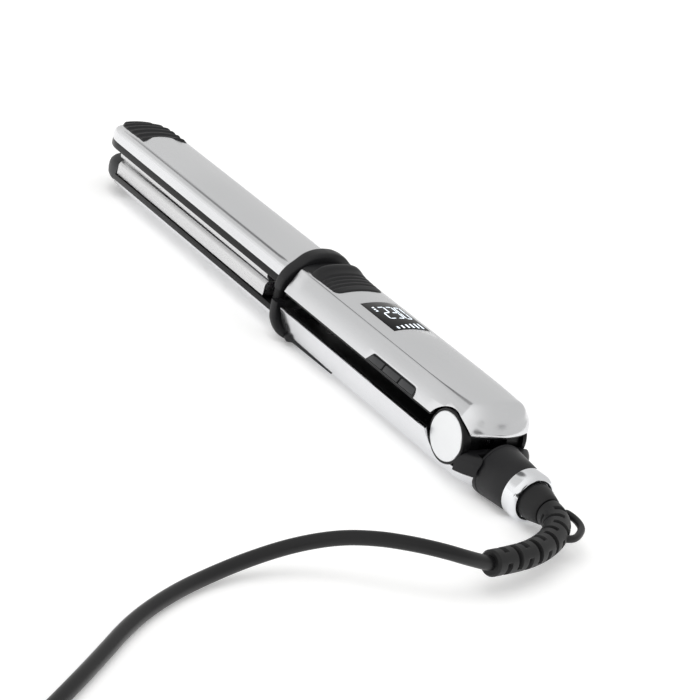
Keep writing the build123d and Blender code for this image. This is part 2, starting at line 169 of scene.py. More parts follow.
def make_materials():
    MATERIALS.update(
        silver=brushed_silver(), chrome=polished_chrome(), cap=satin_cap(), plate=plate_metal(),
        black=moulded("black_matte", (0.0085, 0.0085, 0.0095), 0.42, 1800, 0.00005),
        liner=moulded("black_satin", (0.003, 0.003, 0.0035), 0.3, 2400, 0.00002, 0.25),
        dark=moulded("dark_grey", (0.030, 0.031, 0.033), 0.5, 1800, 0.00005),
        rubber=moulded("soft_black", (0.0085, 0.0085, 0.009), 0.48, 1400, 0.00006),
        sheath=moulded("cord_sheath", (0.008, 0.008, 0.0085), 0.38, 900, 0.00004),
        glass=material("display_glass", (0.002, 0.002, 0.003), 0.12, Specular_IOR_Level=0.12),
        button=moulded("button_face", (0.028, 0.029, 0.031), 0.33, 1600, 0.00002, 0.5),
        digits=glowing("digits", (0.86, 0.93, 1.0), 0.8),
        board=moulded("board", (0.02, 0.12, 0.05), 0.4, 700, 0.00004),
        ceramic=moulded("ceramic", (0.72, 0.70, 0.66), 0.5, 500, 0.00005),
        steel=material("steel", (0.55, 0.56, 0.58), 0.3, 1.0),
        brass=material("brass_pins", (0.78, 0.62, 0.32), 0.22, 1.0),
    )
    spread(MATERIALS["steel"], noise(MATERIALS["steel"], 80, 3), 0.22, 0.4, "Roughness")
    spread(MATERIALS["brass"], noise(MATERIALS["brass"], 80, 3), 0.15, 0.32, "Roughness")
    spread(MATERIALS["glass"], noise(MATERIALS["glass"], 50, 2), 0.04, 0.1, "Roughness")


# ---------------------------------------------------------------- mesh tools

def new_object(name, mesh, look, body, *nodes):
    obj = bpy.data.objects.new(name, mesh)
    bpy.context.collection.objects.link(obj)
    obj.data.materials.clear()
    obj.data.materials.append(MATERIALS[look])
    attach(obj, body)
    if nodes:
        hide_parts(*nodes)
    return obj


def apply_all(obj):
    """Apply the modifiers, so that the piece is its final mesh."""
    depsgraph = bpy.context.evaluated_depsgraph_get()
    made = bpy.data.meshes.new_from_object(obj.evaluated_get(depsgraph))
    obj.modifiers.clear()
    obj.data = made


def smooth(obj, degrees=40):
    for face in obj.data.polygons:
        face.use_smooth = True
    obj.data.set_sharp_from_angle(angle=math.radians(degrees))


def mesh_of(name, rings, closed_ring=True, caps=True):
    """A skin over rings of the same number of points."""
    count = len(rings[0])
    verts = [tuple(p) for ring in rings for p in ring]
    faces = []
    span = count if closed_ring else count - 1
    for i in range(len(rings) - 1):
        for j in range(span):
            k = (j + 1) % count
            faces.append((i * count + j, i * count + k, (i + 1) * count + k, (i + 1) * count + j))
    if caps:
        faces.append(tuple(range(count - 1, -1, -1)))
        last = (len(rings) - 1) * count
        faces.append(tuple(last + j for j in range(count)))
    mesh = bpy.data.meshes.new(name)
    mesh.from_pydata(verts, [], faces)
    work = bmesh.new()
    work.from_mesh(mesh)
    bmesh.ops.remove_doubles(work, verts=work.verts, dist=1e-6)
    bmesh.ops.dissolve_degenerate(work, dist=1e-7, edges=work.edges)
    bmesh.ops.recalc_face_normals(work, faces=work.faces)
    work.to_mesh(mesh)
    work.free()
    return mesh


def bevel(obj, width, angle=35, segments=3):
    mod = obj.modifiers.new("bevel", "BEVEL")
    mod.width = width * MM
    mod.segments = segments
    mod.limit_method = "ANGLE"
    mod.angle_limit = math.radians(angle)
    mod.use_clamp_overlap = True


def refine(node, look, body, width):
    """The CAD node's own shape with rounded edges."""
    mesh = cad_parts[node].data.copy()
    work = bmesh.new()
    work.from_mesh(mesh)
    bmesh.ops.remove_doubles(work, verts=work.verts, dist=2e-6)
    bmesh.ops.dissolve_limit(work, angle_limit=math.radians(0.6), verts=work.verts, edges=work.edges)
    work.to_mesh(mesh)
    work.free()
    obj = new_object(node + "_skin", mesh, look, body, node)
    bevel(obj, width)
    apply_all(obj)
    smooth(obj)
    return obj


def cutter(name, mesh):
    obj = bpy.data.objects.new(name, mesh)
    bpy.context.collection.objects.link(obj)
    return obj


def cut(obj, tool, operation="DIFFERENCE"):
    mod = obj.modifiers.new("cut", "BOOLEAN")
    mod.operation = operation
    mod.object = tool
    mod.solver = "EXACT"
    apply_all(obj)
    mesh = tool.data
    bpy.data.objects.remove(tool)
    bpy.data.meshes.remove(mesh)


def drum(name, radius, y0, y1, place=at):
    """A round bar along Y at the hinge."""
    rings = []
    for y in (y0, y1):
        rings.append([place(radius * math.cos(a), y, radius * math.sin(a)) for a in circle(ROUND_STEPS)])
    return cutter(name, mesh_of(name, rings))


def circle(steps):
    return [2 * math.pi * i / steps for i in range(steps)]


def brick(name, x0, x1, y0, y1, z0, z1, place=at):
    rings = [[place(x, y0, z0), place(x, y1, z0), place(x, y1, z1), place(x, y0, z1)] for x in (x0, x1)]
    return cutter(name, mesh_of(name, rings))


# ---------------------------------------------------------------- arm shells

# Half width, height of the edge, half width and height of the crease, height of the middle.
UPPER_HANDLE = (HANDLE_HALF, 4.9, 12.5, 14.2, 16.0)
UPPER_FRONT = (FRONT_HALF, 6.8, 14.1, 12.5, 14.4)
LOWER_HANDLE = (HANDLE_HALF, -2.0, 12.4, -13.6, -16.9)
LOWER_FRONT = (14.1, -8.5, 12.5, -11.0, -12.6)
WALL = 1.3
CREST = UPPER_HANDLE[4]
CREASE_HALF, CREASE_Z = UPPER_HANDLE[2:4]
WALL_BULGE = 0.35
KNEE = 0.55               # share of the width where an end's rings begin to close on the middle
FADE = 26.0               # length over which a crease softens towards the end
STRAIGHT_STEPS, TURN_STEPS, CROWN_STEPS = 14, 30, 9
CAP_FACE = 12.2
UPPER_CAP_ROOM, LOWER_CAP_ROOM = 10.7, 10.15
PANEL_BACK = 10.0
SHELL_EDGE, BUTTON_EDGE, BUTTON_TRIM = 0.25, 0.35, 0.15


def levels(shape, soft):
    """(inset, height) pairs up the wall, round the crease over soft mm and over the crown to the middle."""
    half, edge, crease, crease_z, crown = shape
    slope = (crease_z - edge) / (half - crease)
    length = math.hypot(half - crease, crease_z - edge)

    def top(inset):
        return crown - (crown - crease_z) * ((half - inset) / crease) ** 2

    run = min(soft / length, 0.9)
    near = (half - crease) * (1 - run)
    far = half - crease + soft
    bulge = WALL_BULGE * min(1.0, (half - crease) / 5)
    pairs = [(near * t - bulge * 4 * t * (1 - t), edge + slope * near * t)
             for t in (0, 0.03, 0.15, 0.3, 0.45, 0.6, 0.75, 0.88, 1)]
    for t in (0.17, 0.33, 0.5, 0.67, 0.83, 1.0):
        a, b, c = (1 - t) ** 2, 2 * t * (1 - t), t * t
        pairs.append((a * near + b * (half - crease) + c * far,
                      a * (edge + slope * near) + b * crease_z + c * top(far)))
    for i in range(1, CROWN_STEPS + 1):
        inset = far + (half - far) * i / CROWN_STEPS
        pairs.append((inset, top(inset)))
    return pairs


def nose_z(x):
    """Height of the tip's side view over the front arm, as a share of its height further back."""
    points = [(238.0, 14.4), (252.0, 14.4), (258.0, 14.25), (264.0, 13.75), (269.0, 12.9), (273.0, 11.5),
              (275.5, 10.0), (276.7, 8.9), (277.2, 8.0)]
    for (x0, z0), (x1, z1) in zip(points, points[1:]):
        if x <= x1:
            share = max(0.0, (x - x0) / (x1 - x0))
            return (z0 + (z1 - z0) * share - UPPER_FRONT[1]) / (UPPER_FRONT[4] - UPPER_FRONT[1])
    return (points[-1][1] - UPPER_FRONT[1]) / (UPPER_FRONT[4] - UPPER_FRONT[1])


def ellipse_narrow(x, centre, reach, way):
    t = max(0.0, (x - centre) * way / reach)
    return math.sqrt(max(0.0, 1 - t * t))


def capped_skin(shape, front, centre, reach, way, pinch, soft, drop=None):
    """An arm's skin: walls, creases and crown that follow a straight plan with an elliptical end."""
    half, edge = shape[0], shape[1]
    places = [("x", front + (centre - front) * i / STRAIGHT_STEPS) for i in range(STRAIGHT_STEPS)]
    places += [("a", math.pi / 2 * i / TURN_STEPS) for i in range(TURN_STEPS + 1)]
    columns = []
    for kind, value in places:
        if kind == "a":
            softness = soft[1] + (soft[2] - soft[1]) * math.sin(value) ** 2
        else:
            near_end = max(0.0, 1 - abs(value - centre) / FADE)
            softness = soft[0] + (soft[1] - soft[0]) * near_end ** 2
        column = []
        for inset, z in levels(shape, softness):
            if kind == "x":
                x, y = value, half - inset
            else:
                if inset < KNEE * half or pinch * half < reach:
                    radius = reach - pinch * inset
                else:
                    radius = (reach - pinch * KNEE * half) * (half - inset) / half / (1 - KNEE)
                x, y = centre + way * radius * math.sin(value), (half - inset) * math.cos(value)
            if drop:
                z = edge + (z - edge) * drop(x)
            column.append((x, y, z))
        columns.append(column)
    other = [[(x, -y, z) for x, y, z in column] for column in columns[-2::-1]]
    return columns + other


def thicken(obj):
    """Give a skin its wall, inwards."""
    mod = obj.modifiers.new("wall", "SOLIDIFY")
    mod.thickness = WALL * MM
    mod.offset = -1
    apply_all(obj)


def shell(name, columns, place, body, *nodes):
    """A walled shell from the columns of an arm's skin, with its faces turned outwards."""
    rings = [[place(*p) for p in column] for column in columns]
    middle = len(columns[0]) - 1
    mesh = mesh_of(name, rings, closed_ring=False, caps=False)
    work = bmesh.new()
    work.from_mesh(mesh)
    tall = columns[0][middle][2] > columns[0][0][2]
    summit = max(work.faces, key=lambda f: abs(f.normal.z) * f.calc_area())
    if (summit.normal.z > 0) != tall:
        bmesh.ops.reverse_faces(work, faces=work.faces)
    work.to_mesh(mesh)
    work.free()
    obj = new_object(name, mesh, "silver", body, *nodes)
    thicken(obj)
    return obj


def prism_y(name, outline, y0, y1, place=at):
    """A block along Y with an (x, z) outline."""
    return cutter(name, mesh_of(name, [[place(x, y, z) for x, z in outline] for y in (y0, y1)]))


def rounded(corners, steps=6):
    """An outline from (x, z, radius) corners."""
    out = []
    for i, (x, z, radius) in enumerate(corners):
        here = Vector((x, z))
        back = (Vector(corners[i - 1][:2]) - here).normalized()
        ahead = (Vector(corners[(i + 1) % len(corners)][:2]) - here).normalized()
        if radius <= 0:
            out.append((x, z))
            continue
        start, end = here + back * radius, here + ahead * radius
        for j in range(steps + 1):
            t = j / steps
            point = start * (1 - t) ** 2 + here * 2 * t * (1 - t) + end * t * t
            out.append((point.x, point.y))
    return out


PANEL_OUTLINE = [(52.5, 2.0, 0), (20.5, 2.0, 0), (20.5, 5.2, 0), (21.4, 8.3, 2.0), (50.2, 8.3, 0.9),
                 (52.5, 4.9, 0)]
RIM_OUTLINE = [(51.9, 5.05, 0.9), (20.9, 5.05, 0.9), (21.3, 7.98, 1.4), (50.6, 7.98, 0.8)]
BUTTON_OUTLINE = [(51.42, 5.0, 0), (21.3, 5.0, 0), (21.7, 7.75, 1.3), (50.2, 7.75, 0.7)]


def upper_handle():
    columns = capped_skin(UPPER_HANDLE, HANDLE_FRONT, REAR_CENTRE, REAR_REACH, -1, 0.5, (0.6, 3.2, 9.0))
    obj = shell("upper_handle_cover", columns, upper, "upper_arm", "upper_handle_shell")
    cut(obj, drum("cap_room", UPPER_CAP_ROOM, CAP_FACE, OUTSIDE, upper))
    cut(obj, drum("cap_room_far", UPPER_CAP_ROOM, -OUTSIDE, -CAP_FACE, upper))
    cut(obj, prism_y("panel_room", rounded(PANEL_OUTLINE), PANEL_BACK, OUTSIDE, upper))
    cut(obj, brick("display_room", 53.5, 77.5, -10.0, 7.1, 11, 20, upper))
    finish_shell(obj)


def finish_shell(obj, width=SHELL_EDGE):
    """Round the cut edges."""
    bevel(obj, width, angle=50, segments=2)
    apply_all(obj)
    smooth(obj, 38)


def upper_front():
    columns = capped_skin(UPPER_FRONT, SADDLE_FRONT, TIP_CENTRE, TIP_REACH, 1, 1.0, (3.2, 3.2, 3.2), nose_z)
    obj = shell("upper_front_cover", columns, upper, "upper_arm", "upper_front_shell")
    finish_shell(obj)


def lower_handle():
    columns = capped_skin(LOWER_HANDLE, HANDLE_FRONT, REAR_CENTRE, NECK_REACH, -1, 0.6, (0.8, 1.2, 2.5))
    obj = shell("lower_handle_cover", columns, at, "lower_arm", "lower_handle_shell")
    cut(obj, drum("cap_room", LOWER_CAP_ROOM, CAP_FACE, OUTSIDE))
    cut(obj, drum("cap_room_far", LOWER_CAP_ROOM, -OUTSIDE, -CAP_FACE))
    cut(obj, brick("neck_room", -30, -5, -OUTSIDE, OUTSIDE, -8.8, 5))
    cut(obj, brick("barrel_room", -30, -17.1, -OUTSIDE, OUTSIDE, -24, 5))
    finish_shell(obj)


def lower_front():
    ring = [(LOWER_FRONT[0] - inset, z) for inset, z in levels(LOWER_FRONT, 0.8)]
    ring += [(-y, z) for y, z in ring[-2::-1]]
    length = TIP_COVER - SADDLE_FRONT
    xs = [SADDLE_FRONT + length * i / STRAIGHT_STEPS for i in range(STRAIGHT_STEPS + 1)]
    rings = [[at(x, y, z) for y, z in ring] for x in xs]
    mesh = mesh_of("lower_front", rings, closed_ring=False, caps=False)
    obj = new_object("lower_front_cover", mesh, "silver", "lower_arm", "lower_front_shell")
    thicken(obj)
    finish_shell(obj)


# ---------------------------------------------------------------- cord side

RELIEF_ROUTE = [(-44.0, 0, -7.4), (-50, 0, -7.4), (-59.5, 8.5, -7.4), (-67, 20.5, -7.2),
                (-72.2, 34.5, -6.6), (-75.2, 49.5, -5.5)]
CORD_ROUTE = [(-75.2, 49.5, -5.5), (-76.2, 58.8, -2.4), (-74.0, 68.3, 0.0), (-69.2, 78.0, 0.8),
              (-63.0, 88.0, 0.2), (-56.6, 98.5, -2.2), (-52.2, 112.0, -6.4), (-51.2, 127.0, -10.8),
              (-54.0, 143.0, -13.8), (-61.0, 160.0, -14.35), (-73.0, 180.0, -14.35),
              (-90.0, 200.0, -14.35), (-107.0, 221.0, -14.35), (-122.0, 240.5, -14.35),
              (-135.3, 259.5, -14.35)]
COIL_CENTRE = (-112.0, 287.0)
LANES = 3
COIL_RADIUS = 33.4
TURN_PITCH = 5.1
COIL_TURNS = 8.95
COIL_STEPS = 16
COIL_START = -0.30        # radians past the route's last point
CORD_LIFT = 2.55          # middle of the cord above the floor
LANE_CHANGE = 0.7         # share of a turn after which the cord moves to the next lane


def spline(name, points, radius=0.0, cyclic=False):
    data = bpy.data.curves.new(name, "CURVE")
    data.dimensions = "3D"
    data.bevel_depth = radius * MM
    data.bevel_resolution = 6
    data.resolution_u = 8
    data.use_fill_caps = True
    line = data.splines.new("NURBS")
    line.points.add(len(points) - 1)
    for point, place in zip(line.points, points):
        point.co = (*place, 1.0)
    line.order_u = 3
    if cyclic:
        line.use_cyclic_u = True
    else:
        line.use_endpoint_u = True
    obj = bpy.data.objects.new(name, data)
    bpy.context.collection.objects.link(obj)
    return obj


def mesh_from_line(line):
    """The mesh of a curve, which is deleted."""
    mesh = bpy.data.meshes.new_from_object(line)
    data = line.data
    bpy.data.objects.remove(line)
    bpy.data.curves.remove(data)
    return mesh


def lane_radius(whole):
    """Radius of a whole turn: the lanes run inwards on one level and outwards on the next."""
    level, lane = divmod(whole, LANES)
    return COIL_RADIUS - TURN_PITCH * (lane if level % 2 == 0 else LANES - 1 - lane)


def coil_turns():
    """Turns beside and on each other, a diameter apart, from the route's last point."""
    points = []
    lowest = FLOOR_Z + CORD_LIFT
    start = math.atan2(CORD_ROUTE[-1][1] - COIL_CENTRE[1], CORD_ROUTE[-1][0] - COIL_CENTRE[0]) + COIL_START
    for i in range(1, int(COIL_STEPS * COIL_TURNS)):
        whole, into = divmod(i / COIL_STEPS, 1)
        whole = int(whole)
        step = max(0.0, (into - LANE_CHANGE) / (1 - LANE_CHANGE))
        radius = lane_radius(whole) * (1 - step) + lane_radius(whole + 1) * step
        level = whole // LANES * (1 - step) + (whole + 1) // LANES * step
        angle = start - 2 * math.pi * i / COIL_STEPS
        points.append(at(COIL_CENTRE[0] + radius * math.cos(angle), COIL_CENTRE[1] + radius * math.sin(angle),
                         lowest + TURN_PITCH * level))
    return points


def add_cord():
    points = [at(*p) for p in CORD_ROUTE] + coil_turns()
    cord = spline("cord_lead", points, CORD_DIAMETER / 2)
    cord.data.materials.append(MATERIALS["sheath"])
    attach(cord, "cord_side")
    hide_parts("cord", "cord_coil")


def centreline(points, steps):
    """Points along the smooth line of a route."""
    line = spline("reading", points)
    line.data.resolution_u = steps
    mesh = mesh_from_line(line)
    places = [v.co.copy() for v in mesh.vertices]
    bpy.data.meshes.remove(mesh)
    return places


def tube_rings(places, radius_at, steps):
    """Rings round a line; radius_at takes the share of the length and the angle."""
    lengths = [0.0]
    for a, b in zip(places, places[1:]):
        lengths.append(lengths[-1] + (b - a).length)
    rings = []
    for i, place in enumerate(places):
        ahead = (places[min(i + 1, len(places) - 1)] - places[max(i - 1, 0)]).normalized()
        side = ahead.cross(Vector((0, 0, 1))).normalized()
        up = side.cross(ahead)
        share = lengths[i] / lengths[-1]
        rings.append([place + (side * math.cos(a) + up * math.sin(a)) * radius_at(share, a) * MM
                      for a in circle(steps)])
    return rings


RIBS = 10
RELIEF_RADIUS, RELIEF_TAPER, SLOT_DEPTH = 5.0, 0.45, 1.9
RIBS_FROM, RIBS_TO = 0.05, 0.955        # shares of the relief's length
SWING, SWING_LOW = 14.3, -3.0           # room in which the upper arm's rear swings
EYE_WIRE = 1.35


def add_relief():
    """Ribbed strain relief: rings round a thinner core, joined by staggered bridges."""
    places = centreline([at(*p) for p in RELIEF_ROUTE], 60)

    def radius(share, angle):
        outer = RELIEF_RADIUS - RELIEF_TAPER * share
        if share < RIBS_FROM or share > RIBS_TO:
            edge = min(share, 1 - share)
            return outer * (0.86 + 0.14 * min(1.0, edge / 0.012))
        number, phase = divmod((share - RIBS_FROM) / (RIBS_TO - RIBS_FROM) * RIBS, 1.0)
        turned = math.sin(2 * angle + (math.pi if number % 2 else 0))
        bridge = max(0.0, min(1.0, (turned - 0.5) / 0.15))
        slot = max(0.0, min(1.0, (0.20 - abs(phase - 0.5)) / 0.05))
        return outer - SLOT_DEPTH * slot * (1 - bridge)

    mesh = mesh_of("relief", tube_rings(places, radius, 72))
    obj = new_object("strain_relief_ribs", mesh, "rubber", "cord_side", "strain_relief")
    smooth(obj, 45)


def lathe_x(name, profile, look, body, *nodes, floor=None, hollow=False):
    """A turned part along the swivel axis from (x, radius) points. A hollow one is open right through."""
    rings = []
    for x, radius in profile:
        ring = []
        for a in circle(ROUND_STEPS):
            z = SWIVEL_Z + radius * math.sin(a)
            ring.append(at(x, radius * math.cos(a), max(z, floor) if floor is not None else z))
        rings.append(ring)
    mesh = mesh_of(name, rings + rings[:1], caps=False) if hollow else mesh_of(name, rings)
    obj = new_object(name, mesh, look, body, *nodes)
    smooth(obj, 35)
    return obj


def add_swivel():
    lathe_x("swivel_sleeve", [(-12.0, 10.2), (-12.4, 10.6), (-14.5, 10.5), (-14.8, 10.2), (-15.1, 10.2),
                              (-15.4, 10.4), (-22, 9.8), (-28.9, 9.25), (-29.25, 9.0), (-29.25, 6.55),
                              (-20.06, 6.55), (-20.06, 7.9), (-13.5, 7.9)],
            "black", "lower_arm", "swivel_barrel", floor=FLOOR_Z + 0.15)
    sleeve = bpy.data.objects["swivel_sleeve"]
    outline = [(SWING * math.cos(a), max(SWING * math.sin(a), SWING_LOW)) for a in circle(128)]
    rings = [[at(x, y, z) for x, z in outline] for y in (-20, 20)]
    cut(sleeve, cutter("swing_room", mesh_of("swing_room", rings)))
    smooth(sleeve, 35)
    lathe_x("swivel_bezel", [(-29.3, 6.6), (-29.3, 9.1), (-29.6, 9.45), (-30.0, 9.5), (-33.6, 9.5),
                             (-34.6, 9.35), (-35.4, 8.9), (-35.9, 8.2), (-36.0, 7.9), (-35.8, 7.6),
                             (-34.8, 7.3), (-34.6, 6.6)],
            "chrome", "lower_arm", "swivel_ring", hollow=True)
    lathe_x("relief_socket", [(-34.9, 6.4), (-35.6, 6.9), (-36.6, 7.0), (-39, 6.7), (-42, 5.9),
                              (-43.6, 5.5), (-44.0, 5.1)],
            "rubber", "cord_side", "relief_plug")


def add_loop():
    """A rounded triangular eye on the outside of the bend."""
    middle = [(-47.5, -3.4), (-45.6, -6.6), (-47.0, -7.5), (-51.6, -7.6), (-56.4, -5.9), (-59.6, -2.6),
              (-62.3, 1.4), (-62.7, 4.6), (-61.4, 7.6), (-59.4, 8.0)]
    line = spline("loop", [at(x, y, SWIVEL_Z) for x, y in middle], EYE_WIRE)
    line.data.resolution_u = 12
    obj = new_object("hanging_eye", mesh_from_line(line), "rubber", "cord_side", "hanging_loop")
    smooth(obj, 60)


# ---------------------------------------------------------------- saddle and pads

# Each outline is half a section as (y, z), from the lip to the middle.
UPPER_SADDLE = [(18.3, 3.8), (18.1, 6.5), (17.4, 9.4), (15.3, 12.6), (11.9, 15.5), (8.4, 18.3), (4.2, 19.9),
                (0, 20.35)]
LOWER_SADDLE = [(18.3, -1.0), (18.2, -5.0), (17.6, -9.6), (14.6, -14.4), (7.0, -16.6), (0, -16.85)]


def smooth_line(points, steps=5):
    """A Catmull-Rom line through points of any dimension."""
    full = [points[0]] + list(points) + [points[-1]]
    out = []
    for a, b, c, d in zip(full, full[1:], full[2:], full[3:]):
        for i in range(steps):
            t = i / steps
            out.append(tuple(0.5 * (2 * q + (r - p) * t + (2 * p - 5 * q + 4 * r - s) * t * t
                                    + (3 * q - p - 3 * r + s) * t ** 3)
                             for p, q, r, s in zip(a, b, c, d)))
    return out + [tuple(points[-1])]


def band(name, outline, inner, lean, xs, place, body, *nodes):
    """A saddle: a closed band over the arm.

    xs holds (x at the lip, x in the middle, inset) for each ring; a higher lean keeps the lip's x for longer.
    """
    half = smooth_line(outline)
    full = half + [(-y, z) for y, z in half[-2::-1]]
    top, low = abs(half[-1][1]), abs(half[0][1])
    rings = []
    for side_x, top_x, inset in xs:
        outer, inside = [], []
        for y, z in full:
            share = max(0.0, (abs(z) - low) / (top - low)) ** lean
            x = side_x + (top_x - side_x) * share
            shift = inset * (0.45 + 0.55 * share)
            way = 1 if z > 0 else -1
            outer.append(place(x, y * (1 - shift / 20), z - way * shift * share))
            inside.append(place(x, y * inner[0], half[0][1] + (z - half[0][1]) * inner[1]))
        rings.append(outer + inside[::-1])
    obj = new_object(name, mesh_of(name, rings), "black", body, *nodes)
    smooth(obj, 50)
    return obj


def add_saddles():
    band("upper_saddle_grip", UPPER_SADDLE, (0.76, 0.5), 1.3,
         [(114.3, 111.9, 6.0), (114.3, 111.95, 3.2), (114.35, 112.1, 1.5), (114.5, 112.4, 0.6),
          (114.8, 113.0, 0.15), (115.4, 114.2, 0.0), (116.4, 115.8, 0.0), (117.6, 117.4, 0.0),
          (118.1, 118.05, 0.12), (118.35, 118.32, 0.4), (118.45, 118.45, 0.9)],
         upper, "upper_arm", "upper_saddle")
    band("lower_saddle_grip", LOWER_SADDLE, (0.74, 0.6), 3.2,
         [(114.6, 107.6, 3.0), (114.65, 107.8, 1.6), (114.9, 108.3, 0.6), (115.5, 109.3, 0.1),
          (116.8, 111.2, 0.0), (117.8, 112.3, 0.3), (118.3, 112.8, 0.9), (118.45, 113.0, 1.8)],
         at, "lower_arm", "lower_saddle")


# The thumb pad's side view, from its rear edge over the raised lip and along the low floor of the slit.
PAD_PROFILE = [(87.4, 15.55), (87.6, 16.1), (88.2, 16.4), (89.5, 16.5), (92.0, 16.7), (95.0, 16.95),
               (98.0, 17.25), (100.0, 17.6), (101.6, 18.15), (102.8, 18.8), (103.8, 19.15), (104.8, 19.15),
               (105.5, 18.75), (105.9, 17.7), (106.2, 16.6), (107.0, 16.2), (109.0, 16.15), (112.2, 16.15),
               (112.4, 14.6)]
PAD_GROOVES = (91.4, 93.9, 96.4, 98.9)
PAD_REAR_HALF, PAD_FLARE = 9.6, 2.2
GROOVE_HALF, GROOVE_DEPTH = 0.5, 0.62
PAD_BOTTOM = 12.6
FINGER_FRONT, FINGER_LENGTH = 111.6, 34.6


def add_thumb_pad():
    """A grip with a raised lip, four soft grooves and a rear edge that runs out into the crown."""
    line = smooth_line(PAD_PROFILE, 7)
    across = [math.sin(math.pi / 2 * i / 16) for i in range(-16, 17)]
    rings = []
    for x, z in line:
        end = max(0.0, min(1.0, (x - PAD_PROFILE[0][0]) / 3.0))
        half = PAD_REAR_HALF + PAD_FLARE * math.sqrt(1 - (1 - end) ** 2)
        groove = GROOVE_DEPTH * max(math.exp(-((x - g) / GROOVE_HALF) ** 2) for g in PAD_GROOVES)
        ring = []
        for share in across:
            y = half * share
            crown = CREST - (CREST - CREASE_Z) * (y / CREASE_HALF) ** 2
            rise = (z - CREST) * (1 - abs(share) ** 5) + 0.35 * (1 - abs(share) ** 14) * end
            fade = max(0.0, 1 - abs(share) ** 4)
            ring.append(upper(x, y, crown + rise - groove * fade - 0.9 * abs(share) ** 20))
        ring += [upper(x, half * share, PAD_BOTTOM) for share in across[::-1]]
        rings.append(ring)
    obj = new_object("thumb_grip", mesh_of("thumb_grip", rings), "black", "upper_arm", "thumb_pad")
    smooth(obj, 55)


def add_finger_pads():
    """Along both lower creases: a round grip behind the saddle and a thin trim line that runs out."""
    work = bmesh.new()
    for way in (1, -1):
        places = [at(FINGER_FRONT - FINGER_LENGTH * i / 80, 12.5 * way, -13.55) for i in range(81)]

        def radius(share, _angle):
            swell = math.exp(-((share - 0.09) / 0.055) ** 2)
            return (0.8 - 0.55 * share + 1.1 * swell) * (0.3 + 0.7 * min(1.0, share / 0.03))

        part = mesh_of("finger", tube_rings(places, radius, 28))
        work.from_mesh(part)
        bpy.data.meshes.remove(part)
    mesh = bpy.data.meshes.new("finger_grips")
    work.to_mesh(mesh)
    work.free()
    obj = new_object("finger_grips", mesh, "black", "lower_arm", "finger_pad")
    smooth(obj, 50)


TIP_PAD_REAR, TIP_PAD_BOTTOM = 244.6, 7.6
TIP_RIB_FROM, TIP_RIB_TO, TIP_RIB_PITCH = 247.5, 271.5, 4.6


def fade_across(share):
    """1 over the middle of the tip pad, 0 at its edges."""
    return max(0.0, min(1.0, (1 - abs(share)) / 0.12))


def add_tip_pad():
    """The ribbed pad let into the top of the tip, with silver left round it."""
    reach, half = TIP_REACH - 3.6, FRONT_HALF - 3.0
    front = TIP_CENTRE + reach
    rings = []
    steps = 110
    for i in range(steps + 1):
        u = i / steps
        ring = []
        for j in range(-18, 19):
            share = math.sin(math.pi / 2 * j / 18)
            rear = TIP_PAD_REAR + 4.2 * (1 - abs(share) ** 2.2)
            x = rear + (front - 0.02 - rear) * u
            wide = half * ellipse_narrow(x, TIP_CENTRE, reach, 1)
            y = wide * share
            plan = max(ellipse_narrow(x, TIP_CENTRE, TIP_REACH, 1), 0.2)
            top = UPPER_FRONT[4] - 1.9 * (y / (14.1 * plan)) ** 2
            z = UPPER_FRONT[1] + (top - UPPER_FRONT[1]) * nose_z(x)
            phase = (x - TIP_RIB_FROM) / TIP_RIB_PITCH
            ribbed = TIP_RIB_FROM - 0.5 < x < TIP_RIB_TO
            rib = max(0.0, math.cos(2 * math.pi * phase)) ** 0.7 if ribbed else 0.5
            edge = min(1.0, (1 - abs(share)) / 0.06, u / 0.03, (1 - u) / 0.03)
            height = 0.3 + (0.75 * rib - 0.15) * fade_across(share)
            ring.append(upper(x, y, z - 0.5 + (0.5 + height) * edge))
        x = TIP_PAD_REAR + (front - TIP_PAD_REAR) * u
        wide = half * 0.98 * ellipse_narrow(x, TIP_CENTRE, reach, 1)
        low = [upper(x, wide * math.sin(math.pi / 2 * j / 18), TIP_PAD_BOTTOM) for j in range(18, -19, -1)]
        rings.append(ring + low)
    obj = new_object("tip_grip", mesh_of("tip_grip", rings), "black", "upper_arm", "upper_tip_pad")
    smooth(obj, 50)


TIP_COVER_PROFILE = [(-10.7, 4.5), (-10.5, 2.4), (-9.9, 1.0), (-8.8, 0.3), (-7.0, 0.0), (-5.0, 0.0),
                     (-3.7, 0.35), (-2.8, 1.1), (-2.2, 2.3), (-2.0, 4.0)]


def add_tip_cover():
    """The rounded dark nose of the lower arm, in front of its plate."""
    reach, half = TIP_REACH - 1.0, FRONT_HALF - 0.9
    rings = []
    rear = TIP_COVER + 0.02
    for z, inset in TIP_COVER_PROFILE:
        ring = [at(rear, -half + inset, z)]
        for i in range(41):
            a = -math.pi / 2 + math.pi * i / 40
            x = TIP_CENTRE + (reach - inset) * math.cos(a)
            ring.append(at(x, (half - inset) * math.sin(a), z))
        ring.append(at(rear, half - inset, z))
        rings.append(ring)
    obj = new_object("lower_nose", mesh_of("lower_nose", rings), "dark", "lower_arm", "lower_tip_cover")
    smooth(obj, 50)


# ---------------------------------------------------------------- display and buttons

